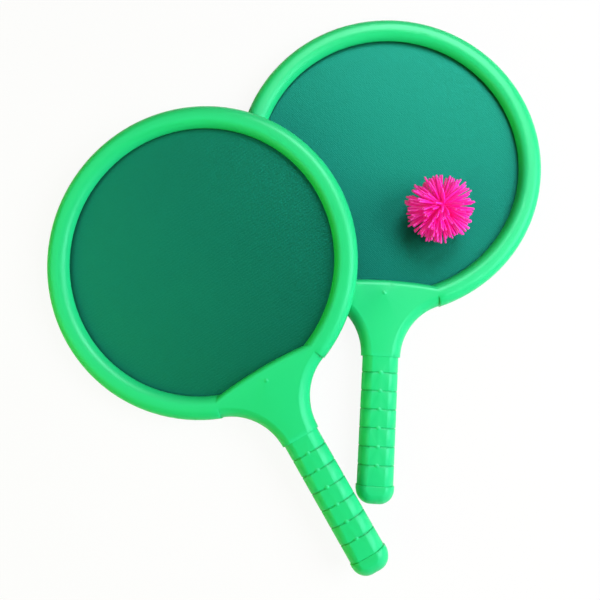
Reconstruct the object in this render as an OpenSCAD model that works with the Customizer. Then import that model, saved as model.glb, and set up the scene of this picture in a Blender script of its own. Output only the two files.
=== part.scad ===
// Beach paddle set: two round paddles with a stretched fabric face, and a ball of soft rubber strands.
// Each paddle is two moulded half shells that clamp the fabric at the middle of their thickness.
// The fabric's edge is fixed to a hoop inside the hollow rim. A cap closes the end of the handle.
// One paddle lies flat. The other lies over its rim and leans on it, and the ball lies on the lower face.
// A paddle's own frame has its origin at the centre of the head, on the parting plane, handle to -Y.

/* [Paddle head] */
// Outer diameter of the head
head_d = 204; // [180:1:230]
// Width of the rim seen from above
rim_w = 15; // [14:0.1:20]
// Thickness of the paddle over both shells
paddle_t = 16.4; // [14.5:0.1:20]
// Radius of the rim's rounded shoulders
rim_round = 6.5; // [4:0.1:6.8]
// How far the rim's edge stands out from the throat's flank
rim_lip = 0.6; // [0.3:0.1:1.2]
// Angle from the handle's line at which the flank meets the rim
notch_angle = 21.6; // [18:0.1:26]

/* [Throat] */
// Distance from the rim's outer edge to the throat's inner edge
throat_set = 22.1; // [20:0.1:26]
// Radius of the throat's inner edge seen from above
throat_edge_r = 270; // [200:5:400]
// Rounding along the throat's inner edge
throat_round = 4; // [1.5:0.1:5]
// Distance from the throat's inner edge to the pip on the throat
throat_pip_set = 8.9; // [5:0.1:14]
// Width over the web that joins the throat to the rim
web_w = 76; // [68:1:84]
// Width of the throat where the grip begins
neck_w = 25.2; // [24:0.1:30]
// Radius of the throat's hollow flanks
flank_r = 37.6; // [30:0.1:46]

/* [Handle] */
// Distance from the head's centre to the end of the handle
reach = 222; // [190:1:250]
// Width of the grip
handle_w = 23; // [20:0.1:24]
// How far the grip's flat lies below the throat's
grip_inset = 0.2; // [0.1:0.05:0.6]
// Width of the bevels along the flanks and the grip
bevel_w = 6.2; // [4:0.1:7]
// Height of the flat land on each side of the parting plane
side_land = 1.7; // [1.2:0.1:3]
// Radius of the bevel's bulge
bevel_r = 9.5; // [7:0.1:30]
// Number of grooves across the grip
groove_n = 6; // [2:1:6]
// Distance from the start of the grip to the first groove
groove_start = 10.3; // [8:0.1:14]
// Distance from the last groove to the cap
groove_end = 12.6; // [9:0.1:15]
// Width of a groove
groove_w = 0.8; // [0.4:0.1:1.2]
// Depth of a groove
groove_depth = 0.4; // [0.2:0.05:0.7]
// Diameter of the raised pip on each groove
pip_d = 2.6; // [1.6:0.1:3.4]
// Height of a pip above the flat
pip_rise = 0.45; // [0.2:0.05:0.8]

/* [Shells] */
// Wall thickness of the shells
wall = 2; // [1.6:0.1:2.4]
// Width of the seam line around the parting plane, over both shells
seam_w = 0.6; // [0.3:0.1:1]
// Depth of the seam line
seam_depth = 0.4; // [0.2:0.1:0.7]
// Thickness of the ribs inside the rim
rib_t = 1.6; // [1.2:0.1:2.4]
// Number of ribs inside the rim
rib_n = 18; // [10:1:24]
// Diameter of the locating pins
pin_d = 3; // [2:0.1:3.6]
// Clearance around a locating pin
pin_clear = 0.15; // [0.1:0.05:0.3]
// How far a pin reaches into its socket
pin_reach = 4; // [3:0.1:4.6]
// Wall of a pin's socket
socket_wall = 1.5; // [1:0.1:1.8]
// Distance between the two throat pins
throat_pin_gap = 18; // [14:0.5:22]
// Distance from the throat's inner edge to the throat pins
throat_pin_set = 29; // [26:0.5:32]

/* [Fabric face] */
// Thickness of the fabric
fabric_t = 0.8; // [0.5:0.1:1.2]
// Width of the hoop inside the rim
hoop_w = 4; // [3:0.1:5]
// Height of the hoop
hoop_h = 5; // [3.5:0.1:5.2]
// How far the fabric reaches past the hoop
fabric_margin = 0.6; // [0.3:0.1:1]
// Height of the slot between the fabric and the shell's inner lip
lip_gap = 1.8; // [0.4:0.1:2.4]

/* [Butt cap] */
// Length of the cap that shows
cap_len = 11.5; // [10:0.1:14]
// How far the cap stands out from the grip on each side
cap_proud = 0.6; // [0.3:0.1:1.2]
// Corner radius of the cap seen from above
cap_round = 9.5; // [6:0.1:9.8]
// Length of the plug inside the grip
plug_len = 7; // [5:0.1:7.5]
// Clearance around the plug
plug_clear = 0.15; // [0.1:0.05:0.3]
// Wall of the plug
plug_wall = 1.6; // [1.2:0.1:2]

/* [Ball] */
// Diameter over the tips of the strands
ball_d = 45; // [38:0.5:52]
// Diameter of the bound middle that the strands spring from
hub_d = 13; // [11:0.5:15]
// Width of a strand
strand_w = 1.2; // [0.9:0.05:1.3]
// Width of a strand at its tip
strand_tip_w = 0.85; // [0.5:0.05:1.1]
// Rows of strands above the band, and as many below it
strand_rows = 7; // [6:1:7]
// Height of the band around the middle
band_h = 2.6; // [2:0.1:3]
// Thickness of the band
band_t = 1.4; // [1:0.1:1.8]
// Clearance between the band and the strands
band_clear = 0.2; // [0.1:0.05:0.3]
// How far the strands lie above the fabric
rest_gap = 0.3; // [0.2:0.05:0.5]

/* [Arrangement] */
// Turn of the lower paddle's handle
lower_turn = -3.3; // [-10:0.1:10]
// Turn of the upper paddle's handle
upper_turn = 30.3; // [24:0.1:36]
// Place of the upper head from the lower head, along the handle
upper_dy = -67.6; // [-74:0.1:-60]
// Gap between the lower cap's corner and the upper grip, seen from above
handle_gap = 0.7; // [0.5:0.1:6]
// Gap between the two rims where one leans on the other
lean_gap = 0.3; // [0.2:0.05:0.6]
// Place of the ball from the lower head, across
ball_dx = 30; // [20:0.5:36]
// Place of the ball from the lower head, along the handle
ball_dy = -35.4; // [-40:0.2:-20]

/* [Hidden] */
$fn = 96;

frame_green = [0.19, 0.89, 0.50];
fabric_green = [0.11, 0.48, 0.37];
hoop_grey = [0.82, 0.84, 0.83];
strand_pink = [0.97, 0.14, 0.57];

// one overrun for all cuts, and one overlap for all joins within a piece
over = 1;
join = 0.5;
// how far the rim runs on under the throat at each notch, as an angle
notch_overlap = 0.6;

half_t = paddle_t / 2;
grip_t = half_t - grip_inset;
head_r = head_d / 2;
rim_in = head_r - rim_w;
rim_mid = head_r - rim_w / 2;
crest_w = rim_w - 2 * rim_round;
fabric_half = fabric_t / 2;
hoop_in = rim_mid - hoop_w / 2;
hoop_out = rim_mid + hoop_w / 2;
fabric_r = hoop_out + fabric_margin;
// how far out the slot under the inner lip runs
slot_r = rim_in + 2 * wall;

flank_x = neck_w / 2 + flank_r;
flank_y = -sqrt(pow(head_r - rim_lip + flank_r, 2) - pow(flank_x, 2));
grip_y = flank_y;
throat_edge = head_r - throat_set;
throat_centre_y = -throat_edge - throat_edge_r;
cap_y = -reach + cap_len;
cap_half = handle_w / 2 + cap_proud;
grip_len = grip_y - cap_y;
groove_pitch = (grip_len - groove_start - groove_end) / (groove_n - 1);

// the grooves, each with a pin behind it
groove_y = [for (i = [0:groove_n - 1]) grip_y - groove_start - i * groove_pitch];
throat_pin_y = -throat_edge - throat_pin_set;
pin_places = concat(
    [for (y = groove_y) [0, y]],
    [for (s = [-1, 1]) [s * throat_pin_gap / 2, throat_pin_y]]
);

// the upper head's place across, from the lower cap's corner beside the upper grip
cap_corner = [cap_round - cap_half, cap_round - reach];
lower_corner = [
    cap_corner[0] * cos(lower_turn) - cap_corner[1] * sin(lower_turn),
    cap_corner[0] * sin(lower_turn) + cap_corner[1] * cos(lower_turn)
];
corner_set = handle_w / 2 + cap_round + handle_gap;
upper_dx = lower_corner[0] + ((lower_corner[1] - upper_dy) * sin(upper_turn) - corner_set) / cos(upper_turn);

// the lean of the upper paddle, from its far edge on the ground and its rim on the lower rim
head_gap = norm([upper_dx, upper_dy]);
lean_dir = [-upper_dx, -upper_dy] / head_gap;
cross_reach = head_gap / 2 - rim_mid * crest_w / head_gap;
function edge_height(a) = (head_r - rim_round) * sin(a) + (half_t - rim_round) * cos(a) + rim_round;
function rim_space(a) = edge_height(a) + cross_reach * tan(a) - half_t / cos(a) - paddle_t - lean_gap;
function solve_lean(lo, hi, n) = n == 0 ? (lo + hi) / 2
    : rim_space((lo + hi) / 2) > 0 ? solve_lean(lo, (lo + hi) / 2, n - 1)
    : solve_lean((lo + hi) / 2, hi, n - 1);
lean = solve_lean(0, 30, 40);

// the lower head's place puts the origin below the middle of the whole set
low_y = upper_dy + cap_corner[0] * sin(upper_turn) + cap_corner[1] * cos(upper_turn) - cap_round;
lower_pos = [-upper_dx / 2, -(head_r + low_y) / 2, half_t];
upper_pos = [lower_pos[0] + upper_dx, lower_pos[1] + upper_dy, edge_height(lean)];

module place_lower() {
    translate(lower_pos) rotate(lower_turn) children();
}

module place_upper() {
    translate(upper_pos) rotate(a = lean, v = [lean_dir[1], -lean_dir[0], 0]) rotate(upper_turn) children();
}

// sections, drawn with the parting plane along y = 0

// section of the rim's upper half, with the seam line cut from its outer edge when asked
module rim_section(w, t, r, seam = false) {
    difference() {
        intersection() {
            union() {
                square([w, t - r]);
                translate([r, 0]) square([w - 2 * r, t]);
                for (x = [r, w - r]) translate([x, t - r]) circle(r);
            }
            square([w, t]);
        }
        if (seam) translate([w - seam_depth, -over]) square([seam_depth + over, over + seam_w / 2]);
    }
}

// centre of the bulge through the foot and the crest of a bevel on a half of thickness t
function bulge_centre(t) = let (
    c = [bevel_w, t - side_land],
    m = [bevel_w / 2, (side_land + t) / 2],
    n = [c[1], -c[0]] / norm(c)
) m + n * sqrt(pow(bevel_r, 2) - pow(norm(c) / 2, 2));

// what a bevel takes off a side that stands at x = 0
module bevel_waste(t, seam = false) {
    difference() {
        translate([-over, side_land]) square([bevel_w + over, t - side_land + over]);
        translate(bulge_centre(t)) circle(bevel_r);
    }
    if (seam) translate([-over, -over]) square([over + seam_depth, over + seam_w / 2]);
}

// what the wall behind such a side takes off the hollow, by the same bulge one wall further in
module wall_waste(t, set) {
    difference() {
        translate([-over, -2 * over]) square([over + bulge_centre(t)[0], t + 3 * over]);
        translate(bulge_centre(t)) circle(bevel_r - set);
    }
}

// section of the grip's upper half
module grip_section(half_w, t, seam = false) {
    difference() {
        translate([-half_w, 0]) square([2 * half_w, t]);
        for (s = [0, 1]) mirror([s, 0]) translate([-half_w, 0]) bevel_waste(t, seam);
    }
}

module outer_grip(inset = 0, seam = false) {
    grip_section(handle_w / 2 - inset, grip_t - inset, seam);
}

// section of the grip's hollow, run on below the parting plane when asked
module inner_grip(inset = 0, below = 0) {
    difference() {
        translate([-handle_w / 2, -below]) square([handle_w, below + grip_t - wall - inset]);
        for (s = [0, 1]) mirror([s, 0]) translate([-handle_w / 2, 0]) wall_waste(grip_t, wall + inset);
    }
}

// a bar along the handle from y0 towards the butt
module along_handle(y0, len) {
    translate([0, y0, 0]) rotate([90, 0, 0]) linear_extrude(len) children();
}

// plan between the rim and the start of the grip, with straight sides that the hollow flanks cut away
module throat_wedge(angle, r, half_w) {
    polygon([
        [0, 0], [-r * sin(angle), -r * cos(angle)], [-half_w, grip_y],
        [half_w, grip_y], [r * sin(angle), -r * cos(angle)]
    ]);
}

// what lies outside the throat's curved flanks, with a profile that starts at their radius
module flank_waste() {
    for (s = [-1, 1]) translate([s * flank_x, flank_y, 0]) rotate_extrude() {
        translate([0, -2 * over]) square([flank_r, half_t + 3 * over]);
        translate([flank_r, 0]) children();
    }
}

// plan of the throat's inner edge, set back by one wall for the hollow
module edge_plan(set) {
    translate([0, throat_centre_y]) circle(throat_edge_r - set, $fn = 360);
}

module throat_plan() {
    intersection() {
        edge_plan(0);
        union() {
            throat_wedge(notch_angle - notch_overlap, head_r - rim_lip, neck_w / 2 + join);
            intersection() {
                circle(head_r - rim_round);
                translate([-web_w / 2, -head_r]) square([web_w, head_r]);
            }
        }
    }
}

// rounding along the throat's inner edge
module edge_waste() {
    translate([0, throat_centre_y, 0]) rotate_extrude($fn = 360) difference() {
        translate([throat_edge_r - throat_round, half_t - throat_round]) square(throat_round + over);
        translate([throat_edge_r - throat_round, half_t - throat_round]) circle(throat_round);
    }
}

// half a paddle above the parting plane, before it is hollowed
module half_outside() {
    difference() {
        union() {
            rotate_extrude() translate([rim_in, 0]) rim_section(rim_w, half_t, rim_round, true);
            difference() {
                linear_extrude(half_t) throat_plan();
                edge_waste();
            }
        }
        intersection() {
            flank_waste() bevel_waste(half_t, true);
            translate([0, 0, -3 * over]) linear_extrude(half_t + 5 * over) notch_sector();
        }
    }
    along_handle(grip_y + join, grip_len + join) outer_grip(0, true);
}

// sector between the two notches, run on past the start of the grip
module notch_sector() {
    polygon([[0, 0], [-tan(notch_angle), -1] * (over - grip_y), [tan(notch_angle), -1] * (over - grip_y)]);
}

module half_hollow() {
    rotate_extrude() translate([rim_in + wall, -over])
        rim_section(rim_w - 2 * wall, half_t - wall + over, rim_round - wall);
    difference() {
        translate([0, 0, -over]) linear_extrude(half_t - wall + over) intersection() {
            edge_plan(wall);
            throat_wedge(notch_angle, head_r - wall, neck_w / 2);
        }
        flank_waste() wall_waste(half_t, wall);
    }
    along_handle(grip_y + wall, grip_len + wall + over) inner_grip(0, over);
}

// ribs inside the rim, out to a given radius
module rim_ribs(out) {
    intersection() {
        for (i = [0:rib_n - 1]) rotate((i + 1 / 2) * 360 / rib_n - 90)
            translate([rim_in + wall / 2, -rib_t / 2, fabric_half]) cube([out - rim_in - wall / 2, rib_t, half_t]);
        rotate_extrude() translate([rim_in + wall / 2, 0])
            rim_section(rim_w - wall, half_t - wall / 2, rim_round - wall / 2);
    }
}

// the groove that runs around the grip at one place
module groove(y) {
    along_handle(y + groove_w / 2, groove_w) difference() {
        translate([-handle_w / 2 - over, -over]) square([handle_w + 2 * over, grip_t + 2 * over]);
        outer_grip(groove_depth);
        translate([groove_depth - handle_w / 2, -2 * over]) square([handle_w - 2 * groove_depth, 2 * over + join]);
    }
}

module half_shell(rib_out) {
    difference() {
        union() {
            difference() {
                half_outside();
                half_hollow();
            }
            rim_ribs(rib_out);
        }
        translate([0, 0, -over]) cylinder(r = fabric_r + join, h = over + fabric_half);
        translate([0, 0, -over]) cylinder(r = slot_r, h = over + fabric_half + lip_gap);
        for (y = groove_y) groove(y);
    }
}

socket_r = pin_d / 2 + pin_clear + socket_wall;

module front_shell() {
    color(frame_green) {
        half_shell(hoop_in - pin_clear);
        for (p = pin_places) translate([p[0], p[1], 0]) {
            translate([0, 0, -pin_reach]) cylinder(d = pin_d, h = pin_reach + grip_t - wall / 2);
            cylinder(r = socket_r, h = grip_t - wall / 2);
        }
        for (p = concat([for (y = groove_y) [0, y, grip_t]], [[0, -throat_edge - throat_pip_set, half_t]]))
            pip(p);
    }
}

// low domed pip on the front
module pip(p) {
    dome_r = (pow(pip_d / 2, 2) + pow(pip_rise, 2)) / (2 * pip_rise);
    translate(p) intersection() {
        translate([0, 0, pip_rise - dome_r]) sphere(dome_r);
        translate([0, 0, -join]) cylinder(d = 2 * pip_d, h = join + pip_rise);
    }
}

module rear_shell() {
    color(frame_green) difference() {
        union() {
            mirror([0, 0, 1]) half_shell(head_r - wall / 2);
            for (p = pin_places) translate([p[0], p[1], wall / 2 - grip_t])
                cylinder(r = socket_r, h = grip_t - wall / 2);
        }
        for (p = pin_places) translate([p[0], p[1], -pin_reach - pin_clear])
            cylinder(d = pin_d + 2 * pin_clear, h = pin_reach + pin_clear + over);
    }
}

module fabric_face() {
    color(fabric_green) translate([0, 0, -fabric_half]) cylinder(r = fabric_r, h = fabric_t);
}

module tension_hoop() {
    color(hoop_grey) translate([0, 0, fabric_half]) rotate_extrude()
        translate([hoop_in, 0]) square([hoop_w, hoop_h]);
}

module both_halves() {
    children();
    mirror([0, 1]) children();
}

// section of the cap from the centre of a corner out to its rim
module cap_section() {
    both_halves() difference() {
        square([cap_round, half_t]);
        translate([cap_round, 0]) mirror([1, 0]) bevel_waste(half_t);
    }
}

// the cap: its bevel runs along the sides, around both corners and across the end
module cap_body() {
    flat_half = cap_half - cap_round;
    along_handle(cap_y, cap_len - cap_round) both_halves() grip_section(cap_half, half_t);
    translate([0, cap_round - reach, 0]) {
        translate([flat_half, 0, 0]) rotate(-90) rotate_extrude(angle = 90) cap_section();
        translate([-flat_half, 0, 0]) rotate(180) rotate_extrude(angle = 90) cap_section();
        translate([flat_half, 0, 0]) rotate([90, 0, -90]) linear_extrude(2 * flat_half) cap_section();
    }
}

// the cap with the hollow plug behind it
module butt_cap() {
    color(frame_green) difference() {
        union() {
            cap_body();
            along_handle(cap_y + plug_len, plug_len + join) both_halves() inner_grip(plug_clear);
        }
        translate([-plug_half, cap_y - cap_bore, -plug_high])
            cube([2 * plug_half, plug_len + cap_bore + over, 2 * plug_high]);
    }
}

plug_half = handle_w / 2 - wall - plug_clear - plug_wall - bevel_w / 2;
plug_high = grip_t - wall - plug_clear - plug_wall;
// how far the plug's hollow runs on into the cap
cap_bore_share = 1 / 3;
cap_bore = cap_len * cap_bore_share;

// the ball: rows of strands that spring from a waisted hub, seen as one closed surface

ball_r = ball_d / 2;
hub_r = hub_d / 2;
// height at which the band's groove ends, as a latitude on the hub
groove_lat = 20;
row_lat = (90 - groove_lat) / strand_rows;
row_gap_share = 0.06;
// width on the hub for each strand, as a share of the strand's own
root_share = 0.86;
row_count = [for (k = [0:strand_rows - 1])
    max(4, round(2 * PI * hub_r / (strand_w * root_share) * cos(groove_lat + (k + 1 / 2) * row_lat)))];
// strands before each row of one half
row_first = [for (k = [0:strand_rows]) k == 0 ? 0 : sum_to(row_count, k - 1)];
function sum_to(v, k) = k < 0 ? 0 : v[k] + sum_to(v, k - 1);
half_count = sum_to(row_count, strand_rows - 1);
tip_shy_share = 0.07;
tip_wander_share = 0.22;
bow_share = 0.07;
wander = [for (i = [0:3]) rands(-1, 1, 2 * half_count, 11 + i)];

// settling of the strands on the fabric: what hangs below the settle height is drawn in
settle_share = 0.5;
settle_ratio = 0.70;
settle_cut_share = 0.022;
ball_drop = ball_r * (settle_share + (1 - settle_share) * settle_ratio - settle_cut_share);
function settle(p) = p[2] > -settle_share * ball_r ? p
    : [p[0], p[1], max(-ball_drop, -settle_share * ball_r + (p[2] + settle_share * ball_r) * settle_ratio)];

function on_ball(r, lat, lon) = r * [cos(lat) * cos(lon), cos(lat) * sin(lon), sin(lat)];
function unit(v) = v / norm(v);

// corners of a strand's four-sided ring around a point, facing along a direction
function ring_at(p, dir, w, s) = let (
    e = unit(cross([0, 0, 1], dir)),
    n = unit(cross(dir, e))
) [for (c = [[-1, -1], [1, -1], [1, 1], [-1, 1]]) p + (c[0] * e + c[1] * s * n) * w / 2];

// the points of one strand: two on the hub, four at its middle and four at its tip
function strand_points(s, k, j) = let (
    n = row_count[k],
    lat0 = groove_lat + (k + (k == 0 ? 0 : row_gap_share)) * row_lat,
    lat1 = groove_lat + (k + 1 - row_gap_share) * row_lat,
    i = (s > 0 ? 0 : half_count) + row_first[k] + j,
    lon = (j + 1 / 2) * 360 / n,
    lat = (lat0 + lat1) / 2,
    aim = (lat - groove_lat) * 90 / (90 - groove_lat),
    // spacing of the tips along the row, in degrees of longitude, and between the rows
    step = 360 / n,
    tip_lat = aim + wander[0][i] * tip_wander_share * 90 / strand_rows,
    tip_lon = lon + wander[1][i] * tip_wander_share * step,
    tip_r = ball_r * (1 - tip_shy_share * (1 + wander[2][i]) / 2),
    root = on_ball(hub_r, s * lat, lon),
    tip = on_ball(tip_r, s * tip_lat, tip_lon),
    half_way = (root + tip) / 2 + ball_r * bow_share * unit(root),
    dir = unit(tip - half_way),
    mid_w = (strand_w + strand_tip_w) / 2
) concat(
    [on_ball(hub_r, s * lat0, j * step), on_ball(hub_r, s * lat1, j * step)],
    ring_at(half_way, unit(tip - root), strand_w, s),
    ring_at(tip, dir, strand_tip_w, s)
);

// the waist between the halves, with as many points around as the widest row
waist_r = hub_r * cos(groove_lat) - band_t - band_clear;
waist_n = row_count[0];
waist_points = [for (z = [1, -1]) for (j = [0:waist_n - 1])
    [waist_r * cos(j * 360 / waist_n), waist_r * sin(j * 360 / waist_n), z * (band_h / 2 + band_clear)]];

strand_mesh_points = [for (p = concat(
    [for (s = [1, -1]) for (k = [0:strand_rows - 1]) for (j = [0:row_count[k] - 1]) each strand_points(s, k, j)],
    waist_points
)) settle(p)];

function at(s, k, j, m) = 10 * ((s > 0 ? 0 : half_count) + row_first[k] + j % row_count[k]) + m;
function waist_at(s, j) = 20 * half_count + (s > 0 ? 0 : waist_n) + j % waist_n;
function turned(s, f) = s > 0 ? [f[2], f[1], f[0]] : f;
function quad(s, a, b, c, d) = [turned(s, [a, b, c]), turned(s, [a, c, d])];

// four walls between two rings of corners, then the flat tip
function strand_faces(s, k, j) = let (
    root = [at(s, k, j, 0), at(s, k, j + 1, 0), at(s, k, j + 1, 1), at(s, k, j, 1)],
    mid = [for (m = [2:5]) at(s, k, j, m)],
    tip = [for (m = [6:9]) at(s, k, j, m)]
) concat(
    [for (m = [0:3]) each quad(s, root[m], root[(m + 1) % 4], mid[(m + 1) % 4], mid[m])],
    [for (m = [0:3]) each quad(s, mid[m], mid[(m + 1) % 4], tip[(m + 1) % 4], tip[m])],
    quad(s, tip[0], tip[1], tip[2], tip[3])
);

// triangles between the top edge of one row and the bottom edge of the next, which has other counts
function between_rows(s, k) = let (n = row_count[k], m = row_count[k + 1]) concat(
    [for (i = [0:n - 1]) turned(s, [at(s, k, i, 1), at(s, k, i + 1, 1),
        at(s, k + 1, floor((i + 1 / 2) * m / n + 1 / 2), 0)])],
    [for (j = [0:m - 1]) turned(s, [at(s, k + 1, j + 1, 0), at(s, k + 1, j, 0),
        at(s, k, ceil((j + 1 / 2) * n / m - 1 / 2), 1)])]
);

strand_mesh_faces = concat(
    [for (s = [1, -1]) for (k = [0:strand_rows - 1]) for (j = [0:row_count[k] - 1]) each strand_faces(s, k, j)],
    [for (s = [1, -1]) for (k = [0:strand_rows - 2]) each between_rows(s, k)],
    // the poles
    [for (s = [1, -1]) for (j = [1:row_count[strand_rows - 1] - 2])
        turned(s, [at(s, strand_rows - 1, 0, 1), at(s, strand_rows - 1, j, 1), at(s, strand_rows - 1, j + 1, 1)])],
    // the waist
    [for (s = [1, -1]) for (j = [0:waist_n - 1])
        each quad(s, waist_at(s, j), waist_at(s, j + 1), at(s, 0, j + 1, 0), at(s, 0, j, 0))],
    [for (j = [0:waist_n - 1])
        each quad(1, waist_at(-1, j), waist_at(-1, j + 1), waist_at(1, j + 1), waist_at(1, j))]
);

ball_pos = [lower_pos[0] + ball_dx, lower_pos[1] + ball_dy, lower_pos[2] + fabric_half + rest_gap + ball_drop];

module ball_strands() {
    color(strand_pink) translate(ball_pos) polyhedron(points = strand_mesh_points, faces = strand_mesh_faces);
}

module ball_band() {
    color(strand_pink) translate(ball_pos) rotate_extrude() translate([waist_r + band_clear, -band_h / 2])
        square([band_t, band_h]);
}

place_lower() front_shell();  // lower_front_shell
place_lower() rear_shell();  // lower_rear_shell
place_lower() fabric_face();  // lower_fabric_face
place_lower() tension_hoop();  // lower_tension_hoop
place_lower() butt_cap();  // lower_butt_cap
place_upper() front_shell();  // upper_front_shell
place_upper() rear_shell();  // upper_rear_shell
place_upper() fabric_face();  // upper_fabric_face
place_upper() tension_hoop();  // upper_tension_hoop
place_upper() butt_cap();  // upper_butt_cap
ball_strands();
ball_band();
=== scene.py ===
"""Looks of a paddle ball game: two paddles with a stretched fabric face and a ball of soft rubber strands."""

import math
import random

import bmesh
import bpy
from mathutils import Matrix, Vector, noise


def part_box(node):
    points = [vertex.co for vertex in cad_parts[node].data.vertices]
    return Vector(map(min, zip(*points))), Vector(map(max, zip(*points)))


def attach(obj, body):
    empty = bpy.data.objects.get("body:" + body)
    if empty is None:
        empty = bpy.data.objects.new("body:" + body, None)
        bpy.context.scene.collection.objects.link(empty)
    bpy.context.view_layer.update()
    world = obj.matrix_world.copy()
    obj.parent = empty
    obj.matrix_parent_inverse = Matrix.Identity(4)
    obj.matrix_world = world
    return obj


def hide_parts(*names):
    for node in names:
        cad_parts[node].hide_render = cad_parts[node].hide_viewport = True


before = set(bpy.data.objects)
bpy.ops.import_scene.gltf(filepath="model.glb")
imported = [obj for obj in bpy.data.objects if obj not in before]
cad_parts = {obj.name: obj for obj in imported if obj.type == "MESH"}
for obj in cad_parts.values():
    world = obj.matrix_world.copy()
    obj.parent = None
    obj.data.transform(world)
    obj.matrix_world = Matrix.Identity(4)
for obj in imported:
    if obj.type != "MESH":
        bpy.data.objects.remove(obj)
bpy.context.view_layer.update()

# the camera, in metres and radians
CAMERA_PLACE = (0.01113, -0.06038, 0.45695)
CAMERA_TILT = 0.14037
CAMERA_ROLL = 0.0016
LENS_MM = 41.128
CAMERA_SHIFT = (-0.02048, -0.03888)

# the two paddles: the turn of the handle from -Y, in degrees
PADDLES = {"lower": -3.3, "upper": 30.3}

# the fabric
FABRIC_RADIUS = 0.0971
FABRIC_THICKNESS = 0.0008
FABRIC_RING_STEP = 0.003
FABRIC_SPOKES = 144
FABRIC_WAVE = 0.00018
FABRIC_WAVE_SCALE = 28
FABRIC_WAVE_SEED = {"lower": 3.1, "upper": 8.7}
# painted light and shade on the fabric: its level in the middle, and its change per metre across and along
# the paddle
FABRIC_PAINTED_LIGHT = {"lower": (0.82, 4.0, 4.0), "upper": (1.0, -2.8, 2.2)}
THREAD_PITCH = 0.00085
THREAD_WANDER = 0.0009
WEFT_FINENESS = 1.7

# the ball and its strands
STRAND_SEED = 5
STRAND_COUNT = 280
STRAND_ROOT_REACH = 0.0045
STRAND_WIDTH = 0.00185
STRAND_TIP_WIDTH = 0.00145
STRAND_WIDTH_SPREAD = (0.92, 1.06)
STRAND_TIP_RINGS = ((0.5, 0.82), (0.86, 0.45))
STRAND_RINGS = 9
STRAND_SIDES = 6
BALL_RADIUS = 0.0228
SHORTEST_REACH = 0.84
BALL_TILT = (-13, 5)
TIP_ARCH = 19
ROOT_ARCH = -20
CLUMP_SCALE = 4.2
CLUMP_SHIFTS = ((9.3, -1.5, -8.0), (-11.2, 4.6, 2.7), (5.1, 12.4, -6.3))
CLUMP_SHARE = 0.30
SCATTER_SHARE = 0.05
BEND_REACH = 0.58
BEND_SCATTER = 0.0009
SETTLED_BELOW = 0.5
SETTLED_SHARE = 0.72
FIBONACCI_TURN = math.pi * (3 - math.sqrt(5))

# the moulded pieces' edges, and how near a wall paints shade into a corner
WELD_REACH = 1e-6
SHELL_BEVEL = 0.0002
SHARP_ANGLE = 12
EDGE_RADIUS = 0.0008
PAINTED_SHADE_REACH = 0.003

# colours, linear
PLASTIC_GREENS = ((0.012, 0.710, 0.230), (0.016, 0.755, 0.258))
# painted shade: the dark green that corners, grooves and contact lines fade to
PLASTIC_PAINTED_SHADE = (0.004, 0.330, 0.060)
HOOP_GREYS = ((0.58, 0.63, 0.61), (0.65, 0.69, 0.67))
# the fabric's darkest and palest green; painted light and shade and random clouds spread it between them
FABRIC_GREENS = ((0.0014, 0.030, 0.015), (0.0060, 0.128, 0.064))
THREAD_GREEN = (0.010, 0.21, 0.140)
# place from the strand's root to its tip, and colour
STRAND_PINKS = ((0.0, (1.0, 0.010, 0.42)), (0.6, (1.0, 0.018, 0.55)), (1.0, (1.0, 0.05, 0.52)))
# streaks on the strands
STREAK_PINK = (1.0, 0.06, 0.45)

# the studio: each light's azimuth, elevation, size, power, colour, and whether it lights matt surfaces
LIGHT_DISTANCE = 1.1
LIGHTS = {
    "window": (3, 43, 0.7, 15.0, (0.78, 0.89, 1.0), True),
    "front_fill": (315, 26, 0.7, 1.6, (0.8, 0.5, 1.0), True),
    "left_fill": (202, 29, 0.7, 5.2, (0.5, 1.0, 0.2), True),
    "highlight_card": (70, 50, 0.5, 16.0, (0.9, 1.0, 1.0), False),
    "left_highlight_card": (172, 56, 0.8, 5.4, (0.4, 1.0, 1.0), False),
}
AMBIENT = (0.3, 0.13, 0.02)
FLOOR_HALF = 4
FLOOR_DROP = 0.0002
FLOOR_WHITE = 0.95
FLOOR_GLOW_SHARE = 0.93


def fabric_place(name):
    """Matrix that puts a level disc at the origin onto a paddle's fabric face."""
    node = f"{name}_fabric_face"
    low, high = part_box(node)
    face = max(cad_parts[node].data.polygons, key=lambda p: p.area)
    normal = face.normal * (1 if face.normal.z > 0 else -1)
    lean = Vector((0, 0, 1)).rotation_difference(normal).to_matrix().to_4x4()
    return Matrix.Translation((low + high) / 2) @ lean


# materials


def new_material(name):
    """An empty node material: the material, its tree, and its principled shader."""
    mat = bpy.data.materials.new(name)
    mat.use_nodes = True
    tree = mat.node_tree
    shader = tree.nodes["Principled BSDF"]
    return mat, tree, shader


def add_node(tree, kind, values=None, **settings):
    """A node with its settings and its input values, by socket name or number."""
    made = tree.nodes.new(kind)
    for key, value in settings.items():
        setattr(made, key, value)
    for key, value in (values or {}).items():
        made.inputs[key].default_value = value
    return made


def noise_at(tree, scale, detail=2.0, roughness=0.5):
    """Noise over the piece's own coordinates."""
    place = add_node(tree, "ShaderNodeTexCoord")
    made = add_node(tree, "ShaderNodeTexNoise", {"Scale": scale, "Detail": detail, "Roughness": roughness})
    tree.links.new(place.outputs["Object"], made.inputs["Vector"])
    return made.outputs["Fac"]


def spread(tree, source, low, high):
    """A value from 0 to 1 mapped onto low to high."""
    made = add_node(tree, "ShaderNodeMapRange", {"To Min": low, "To Max": high})
    tree.links.new(source, made.inputs["Value"])
    return made.outputs["Result"]


def blend_colours(tree, factor, first, second):
    """A mix of two colours by a value."""
    made = add_node(tree, "ShaderNodeMix", data_type="RGBA")
    tree.links.new(factor, made.inputs["Factor"])
    for socket, colour in (("A", first), ("B", second)):
        target = [i for i in made.inputs if i.name == socket and i.type == "RGBA"][0]
        if isinstance(colour, bpy.types.NodeSocket):
            tree.links.new(colour, target)
        else:
            target.default_value = (*colour, 1)
    return [o for o in made.outputs if o.type == "RGBA"][0]


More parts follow.
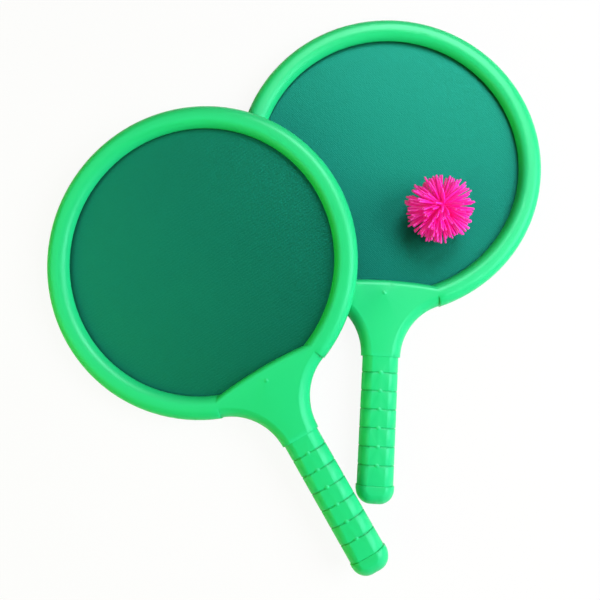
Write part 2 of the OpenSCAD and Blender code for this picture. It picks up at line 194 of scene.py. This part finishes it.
def compute(tree, operation, *values):
    """A math node over numbers and sockets."""
    made = add_node(tree, "ShaderNodeMath", operation=operation)
    for i, value in enumerate(values):
        if isinstance(value, bpy.types.NodeSocket):
            tree.links.new(value, made.inputs[i])
        else:
            made.inputs[i].default_value = value
    return made.outputs[0]


def frame_plastic():
    """Satin moulded plastic: faint flow clouds, painted shade in corners and grooves, a fine pebbled skin,
    uneven gloss.
    """
    mat, tree, shader = new_material("frame_plastic")
    clouds = noise_at(tree, 22, 3)
    colour = blend_colours(tree, clouds, *PLASTIC_GREENS)
    # painted shade: the green darkens where a wall is near, in corners, grooves and along contact lines
    open_share = add_node(tree, "ShaderNodeAmbientOcclusion", {"Distance": PAINTED_SHADE_REACH}, samples=8)
    unshaded_share = add_node(tree, "ShaderNodeMapRange", {"From Min": 0.25, "From Max": 0.8})
    tree.links.new(open_share.outputs["AO"], unshaded_share.inputs["Value"])
    colour = blend_colours(tree, unshaded_share.outputs["Result"], PLASTIC_PAINTED_SHADE, colour)
    tree.links.new(colour, shader.inputs["Base Color"])
    tree.links.new(spread(tree, noise_at(tree, 60, 3), 0.34, 0.44), shader.inputs["Roughness"])
    shader.inputs["IOR"].default_value = 1.45
    shader.inputs["Specular IOR Level"].default_value = 0.4
    shader.inputs["Specular Tint"].default_value = (0.55, 1.0, 0.9, 1)
    pebbles = noise_at(tree, 1400, 2)
    ripples = noise_at(tree, 160, 2)
    height = compute(tree, "ADD", compute(tree, "MULTIPLY", pebbles, 0.3), ripples)
    bump = add_node(tree, "ShaderNodeBump", {"Strength": 0.12, "Distance": 0.0004})
    tree.links.new(height, bump.inputs["Height"])
    rounded = add_node(tree, "ShaderNodeBevel", {"Radius": EDGE_RADIUS}, samples=6)
    tree.links.new(rounded.outputs["Normal"], bump.inputs["Normal"])
    tree.links.new(bump.outputs["Normal"], shader.inputs["Normal"])
    return mat


def hoop_plastic():
    """Plain matt plastic of the hidden hoops, faintly clouded."""
    mat, tree, shader = new_material("hoop_plastic")
    colour = blend_colours(tree, noise_at(tree, 30, 3), *HOOP_GREYS)
    tree.links.new(colour, shader.inputs["Base Color"])
    tree.links.new(spread(tree, noise_at(tree, 80, 2), 0.5, 0.6), shader.inputs["Roughness"])
    return mat


def paddle_axes(tree, name):
    """Place on the fabric across and along its paddle."""
    place = add_node(tree, "ShaderNodeTexCoord")
    turned = add_node(tree, "ShaderNodeMapping", {"Rotation": (0, 0, math.radians(-PADDLES[name]))})
    tree.links.new(place.outputs["Object"], turned.inputs["Vector"])
    split = add_node(tree, "ShaderNodeSeparateXYZ")
    tree.links.new(turned.outputs["Vector"], split.inputs["Vector"])
    return split


def weave_height(tree, split):
    """Relief of a fine twill: wandering ridges along one diagonal, the finer weft across, and loose fibre."""
    turn = 2 * math.pi / THREAD_PITCH / math.sqrt(2)
    along = compute(tree, "ADD", split.outputs["X"], split.outputs["Y"])
    across = compute(tree, "SUBTRACT", split.outputs["X"], split.outputs["Y"])
    wander = spread(tree, noise_at(tree, 260, 3), -THREAD_WANDER, THREAD_WANDER)

    def thread_waves(way, rate):
        return compute(tree, "SINE", compute(tree, "MULTIPLY", compute(tree, "ADD", way, wander), rate))

    ridge = thread_waves(along, turn)
    weft = thread_waves(across, WEFT_FINENESS * turn)
    threads = compute(tree, "ADD", ridge, compute(tree, "MULTIPLY", weft, 0.5))
    fibre = spread(tree, noise_at(tree, 900, 2, 0.6), -1.6, 1.6)
    return compute(tree, "ADD", compute(tree, "MULTIPLY", threads, 0.6), fibre)


def face_fabric(name):
    """Tight weave that stretches: twill relief and thread shading, soft clouds, and painted light and shade
    that change across and along the paddle.
    """
    mat, tree, shader = new_material(f"{name}_face_fabric")
    split = paddle_axes(tree, name)
    weave = weave_height(tree, split)
    # painted light and shade: the fabric grows paler or darker across and along the paddle
    level, across, along = FABRIC_PAINTED_LIGHT[name]
    sideways = compute(tree, "MULTIPLY_ADD", split.outputs["X"], across, level)
    painted_light = compute(tree, "MULTIPLY_ADD", split.outputs["Y"], along, sideways)
    clouds = spread(tree, noise_at(tree, 16, 3), -0.12, 0.12)
    shade = add_node(tree, "ShaderNodeMapRange", {"From Min": 0.3, "From Max": 1.3})
    tree.links.new(compute(tree, "ADD", painted_light, clouds), shade.inputs["Value"])
    base = blend_colours(tree, shade.outputs["Result"], *FABRIC_GREENS)
    threads = add_node(tree, "ShaderNodeMapRange", {"From Min": -1.5, "From Max": 1.5, "To Max": 0.22})
    tree.links.new(weave, threads.inputs["Value"])
    colour = blend_colours(tree, threads.outputs["Result"], base, THREAD_GREEN)
    tree.links.new(colour, shader.inputs["Base Color"])
    tree.links.new(spread(tree, noise_at(tree, 14, 2), 0.36, 0.44), shader.inputs["Roughness"])
    shader.inputs["Specular IOR Level"].default_value = 0.62
    shader.inputs["Specular Tint"].default_value = (0.03, 0.95, 0.76, 1)
    shader.inputs["Sheen Weight"].default_value = 0.04
    shader.inputs["Sheen Roughness"].default_value = 0.4
    shader.inputs["Sheen Tint"].default_value = (0.05, 0.9, 0.7, 1)
    bump = add_node(tree, "ShaderNodeBump", {"Strength": 0.35, "Distance": 0.00012})
    tree.links.new(weave, bump.inputs["Height"])
    tree.links.new(bump.outputs["Normal"], shader.inputs["Normal"])
    return mat


def strand_rubber():
    """Soft rubber: deep magenta near the middle, paler towards the tips, faintly translucent, with a faint
    painted glow.
    """
    mat, tree, shader = new_material("strand_rubber")
    place = add_node(tree, "ShaderNodeTexCoord")
    reach = add_node(tree, "ShaderNodeVectorMath", operation="LENGTH")
    tree.links.new(place.outputs["Object"], reach.inputs[0])
    out = add_node(tree, "ShaderNodeMapRange", {"From Min": 0.35 * BALL_RADIUS, "From Max": BALL_RADIUS})
    tree.links.new(reach.outputs["Value"], out.inputs["Value"])
    ramp = add_node(tree, "ShaderNodeValToRGB")
    stops = ramp.color_ramp.elements
    stops.new(STRAND_PINKS[1][0])
    for stop, (place_along, pink) in zip(stops, STRAND_PINKS):
        stop.position = place_along
        stop.color = (*pink, 1)
    tree.links.new(out.outputs["Result"], ramp.inputs["Fac"])
    streaks = noise_at(tree, 500, 2)
    colour = blend_colours(tree, spread(tree, streaks, 0.0, 0.3), ramp.outputs["Color"], STREAK_PINK)
    tree.links.new(colour, shader.inputs["Base Color"])
    shader.inputs["Roughness"].default_value = 0.45
    shader.inputs["Specular IOR Level"].default_value = 0.22
    shader.inputs["Subsurface Weight"].default_value = 0.6
    shader.inputs["Subsurface Radius"].default_value = (1.0, 0.2, 0.7)
    shader.inputs["Subsurface Scale"].default_value = 0.0015
    # painted glow: the strands give off a little light in their own colour, standing in for light that shines
    # through them
    tree.links.new(colour, shader.inputs["Emission Color"])
    shader.inputs["Emission Strength"].default_value = 0.1
    bump = add_node(tree, "ShaderNodeBump", {"Strength": 0.1, "Distance": 0.0002})
    tree.links.new(streaks, bump.inputs["Height"])
    tree.links.new(bump.outputs["Normal"], shader.inputs["Normal"])
    return mat


# pieces


def new_object(name, bm, mat, smooth=True):
    """An object from a bmesh, with its material."""
    mesh = bpy.data.meshes.new(name)
    bm.to_mesh(mesh)
    bm.free()
    mesh.materials.append(mat)
    mesh.polygons.foreach_set("use_smooth", [smooth] * len(mesh.polygons))
    obj = bpy.data.objects.new(name, mesh)
    bpy.context.scene.collection.objects.link(obj)
    return obj


def dress_shell(obj, mat):
    """Finish of a moulded piece: joined faces, small rounded edges, clean shading."""
    obj.data.materials.clear()
    obj.data.materials.append(mat)
    obj.data.polygons.foreach_set("use_smooth", [True] * len(obj.data.polygons))
    weld = obj.modifiers.new("weld", "WELD")
    weld.merge_threshold = WELD_REACH
    bevel = obj.modifiers.new("edges", "BEVEL")
    bevel.width = SHELL_BEVEL
    bevel.segments = 2
    bevel.limit_method = "ANGLE"
    bevel.angle_limit = math.radians(SHARP_ANGLE)
    bevel.harden_normals = True


def fabric_sheet(name, mat):
    """The stretched face: a closed disc with the faintest slack waves, flat at its edge."""
    bm = bmesh.new()
    half = FABRIC_THICKNESS / 2
    rings = round(FABRIC_RADIUS / FABRIC_RING_STEP)
    step = 2 * math.pi / FABRIC_SPOKES
    seed = Vector((FABRIC_WAVE_SEED[name], 1.3, 0))

    def point(radius, j, side):
        x, y = radius * math.cos(j * step), radius * math.sin(j * step)
        fade = 1 - (radius / FABRIC_RADIUS) ** 4
        wave = FABRIC_WAVE * fade * noise.noise(Vector((x, y, 0)) * FABRIC_WAVE_SCALE + seed)
        return bm.verts.new((x, y, wave + side * half))

    skins = []
    for side in (1, -1):
        centre = point(0, 0, side)
        radii = [FABRIC_RADIUS * i / rings for i in range(1, rings + 1)]
        skin = [[point(radius, j, side) for j in range(FABRIC_SPOKES)] for radius in radii]
        skins.append(skin)
        for j in range(FABRIC_SPOKES):
            k = (j + 1) % FABRIC_SPOKES
            first = [centre, skin[0][j], skin[0][k]]
            bm.faces.new(first if side > 0 else first[::-1])
            for inner, outer in zip(skin, skin[1:]):
                quad = [inner[j], outer[j], outer[k], inner[k]]
                bm.faces.new(quad if side > 0 else quad[::-1])
    for j in range(FABRIC_SPOKES):
        k = (j + 1) % FABRIC_SPOKES
        bm.faces.new([skins[0][-1][j], skins[1][-1][j], skins[1][-1][k], skins[0][-1][k]])
    obj = new_object(f"{name}_fabric", bm, mat)
    obj.matrix_world = fabric_place(name)
    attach(obj, f"{name}_paddle")
    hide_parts(f"{name}_fabric_face")


def turned_out(direction, amount):
    """A direction moved away from the nearer pole of the ball."""
    up = Vector((0, 0, 1 if direction.z >= 0 else -1))
    angle = direction.angle(up)
    axis = up.cross(direction)
    if axis.length < 1e-9:
        return direction
    return Matrix.Rotation(amount * (1 - angle / (math.pi / 2)), 3, axis.normalized()) @ direction


def clump_push(direction):
    """Smooth push that leans neighbouring strands together, the same in every run."""
    return Vector([noise.noise(direction * CLUMP_SCALE + Vector(shift)) for shift in CLUMP_SHIFTS])


def strand_line(direction, rng):
    """Points of one strand, from the bound middle to its tip, arching away from the pole."""
    clump = clump_push(direction)
    jitter = Vector((rng.uniform(-1, 1), rng.uniform(-1, 1), rng.uniform(-1, 1)))
    tip_way = turned_out(direction, math.radians(TIP_ARCH)) + CLUMP_SHARE * clump + SCATTER_SHARE * jitter
    tip_way.normalize()
    start_way = turned_out(direction, math.radians(ROOT_ARCH))
    reach = BALL_RADIUS * rng.uniform(SHORTEST_REACH, 1.0)
    start = STRAND_ROOT_REACH * start_way
    bend = BEND_REACH * reach * (start_way + 1.1 * tip_way).normalized() + BEND_SCATTER * jitter
    tip = reach * tip_way
    steps = [i / (STRAND_RINGS - 1) for i in range(STRAND_RINGS)]
    return [(1 - t) ** 2 * start + 2 * t * (1 - t) * bend + t * t * tip for t in steps]


def add_strand(bm, line, rng, floor):
    """A tapered tube with a rounded tip around a line, kept above the floor."""
    base = rng.uniform(*STRAND_WIDTH_SPREAD)
    rings = []
    count = len(line)
    side = (line[1] - line[0]).orthogonal()
    for i, p in enumerate(line):
        ahead = (line[min(i + 1, count - 1)] - line[max(i - 1, 0)]).normalized()
        side = (side - side.dot(ahead) * ahead).normalized()
        other = ahead.cross(side)
        t = i / (count - 1)
        half = base * (STRAND_WIDTH + (STRAND_TIP_WIDTH - STRAND_WIDTH) * t) / 2
        place = p.copy()
        place.z = max(place.z, floor + half)
        rings.append((place, side, other, half))
    way = (rings[-1][0] - rings[-2][0]).normalized()
    for rise, share in STRAND_TIP_RINGS:
        rings.append((place + rise * half * way, side, other, share * half))
    made = []
    for place, side, other, half in rings:
        ring = []
        for k in range(STRAND_SIDES):
            a = 2 * math.pi * k / STRAND_SIDES
            q = place + half * (math.cos(a) * side + math.sin(a) * other)
            q.z = max(q.z, floor)
            ring.append(bm.verts.new(q))
        made.append(ring)
    for ring, following in zip(made, made[1:]):
        for k in range(STRAND_SIDES):
            m = (k + 1) % STRAND_SIDES
            bm.faces.new([ring[k], ring[m], following[m], following[k]])
    bm.faces.new(made[0][::-1])
    bm.faces.new(made[-1])


def strand_ball(mat):
    """The ball: strands spread evenly over all directions, settled on the fabric below."""
    low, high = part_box("ball_strands")
    band_low, band_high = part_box("ball_band")
    centre = (band_low + band_high) / 2
    floor = low.z - centre.z
    settled = SETTLED_BELOW * floor
    rng = random.Random(STRAND_SEED)
    around_x, around_y = (Matrix.Rotation(math.radians(a), 3, axis) for a, axis in zip(BALL_TILT, "XY"))
    tilt = around_y @ around_x
    bm = bmesh.new()
    for i in range(STRAND_COUNT):
        z = 1 - 2 * (i + 0.5) / STRAND_COUNT
        flat = math.sqrt(1 - z * z)
        direction = Vector((flat * math.cos(i * FIBONACCI_TURN), flat * math.sin(i * FIBONACCI_TURN), z))
        line = [tilt @ p for p in strand_line(direction, rng)]
        for p in line:
            if p.z < settled:
                p.z = settled + (p.z - settled) * SETTLED_SHARE
        add_strand(bm, line, rng, floor)
    obj = new_object("strand_ball", bm, mat)
    obj.location = centre
    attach(obj, "ball")
    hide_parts("ball_strands", "ball_band")


# studio


def add_area(name, azimuth, elevation, size, power, colour, lights_matt):
    """A square area light that faces the set, with its angles in degrees from +X and from the floor."""
    light = bpy.data.lights.new(name, "AREA")
    light.size = size
    light.energy = power
    light.color = colour
    obj = bpy.data.objects.new(name, light)
    around, up = math.radians(azimuth), math.radians(elevation)
    way = Vector((math.cos(up) * math.cos(around), math.cos(up) * math.sin(around), math.sin(up)))
    obj.location = LIGHT_DISTANCE * way
    obj.rotation_euler = (-way).to_track_quat("-Z", "Y").to_euler()
    obj.visible_diffuse = lights_matt
    bpy.context.scene.collection.objects.link(obj)


def seen_directly(tree):
    """1 for rays from the camera and through clear surfaces, 0 for the light that falls on the object."""
    path = add_node(tree, "ShaderNodeLightPath")
    return compute(tree, "MAXIMUM", path.outputs["Is Camera Ray"], path.outputs["Is Transmission Ray"])


def studio():
    """White floor and surroundings, a soft window light from the right, fills, and highlight cards."""
    world = bpy.data.worlds.new("studio")
    bpy.context.scene.world = world
    world.use_nodes = True
    tree = world.node_tree
    background = tree.nodes["Background"]
    colour = blend_colours(tree, seen_directly(tree), AMBIENT, (1, 1, 1))
    tree.links.new(colour, background.inputs["Color"])

    mat, tree, shader = new_material("floor_white")
    shader.inputs["Base Color"].default_value = (FLOOR_WHITE, FLOOR_WHITE, FLOOR_WHITE, 1)
    shader.inputs["Roughness"].default_value = 0.9
    grain = spread(tree, noise_at(tree, 3, 2), 0.985, 1.0)
    glow = add_node(tree, "ShaderNodeEmission", {"Color": (1, 1, 1, 1)})
    tree.links.new(grain, glow.inputs["Strength"])
    share = compute(tree, "MULTIPLY", seen_directly(tree), FLOOR_GLOW_SHARE)
    mixed = add_node(tree, "ShaderNodeMixShader")
    tree.links.new(share, mixed.inputs[0])
    tree.links.new(shader.outputs[0], mixed.inputs[1])
    tree.links.new(glow.outputs[0], mixed.inputs[2])
    tree.links.new(mixed.outputs[0], tree.nodes["Material Output"].inputs["Surface"])
    bm = bmesh.new()
    bmesh.ops.create_grid(bm, x_segments=4, y_segments=4, size=FLOOR_HALF)
    floor = new_object("floor", bm, mat, smooth=False)
    floor.location.z = -FLOOR_DROP

    for name, values in LIGHTS.items():
        add_area(name, *values)


def camera():
    """The camera that took the photograph."""
    data = bpy.data.cameras.new("camera")
    data.lens = LENS_MM
    data.sensor_width = 36
    data.shift_x, data.shift_y = CAMERA_SHIFT
    data.clip_start = 0.01
    obj = bpy.data.objects.new("camera", data)
    turn = Matrix.Rotation(CAMERA_ROLL, 4, "Y") @ Matrix.Rotation(CAMERA_TILT, 4, "X")
    obj.matrix_world = Matrix.Translation(CAMERA_PLACE) @ turn
    bpy.context.scene.collection.objects.link(obj)
    bpy.context.scene.camera = obj


camera()
studio()
bpy.context.scene.view_settings.view_transform = "Standard"

plastic = frame_plastic()
finishes = {
    "front_shell": plastic,
    "rear_shell": plastic,
    "butt_cap": plastic,
    "tension_hoop": hoop_plastic(),
}
for paddle in PADDLES:
    for part, finish in finishes.items():
        dress_shell(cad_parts[f"{paddle}_{part}"], finish)
    fabric_sheet(paddle, face_fabric(paddle))
strand_ball(strand_rubber())
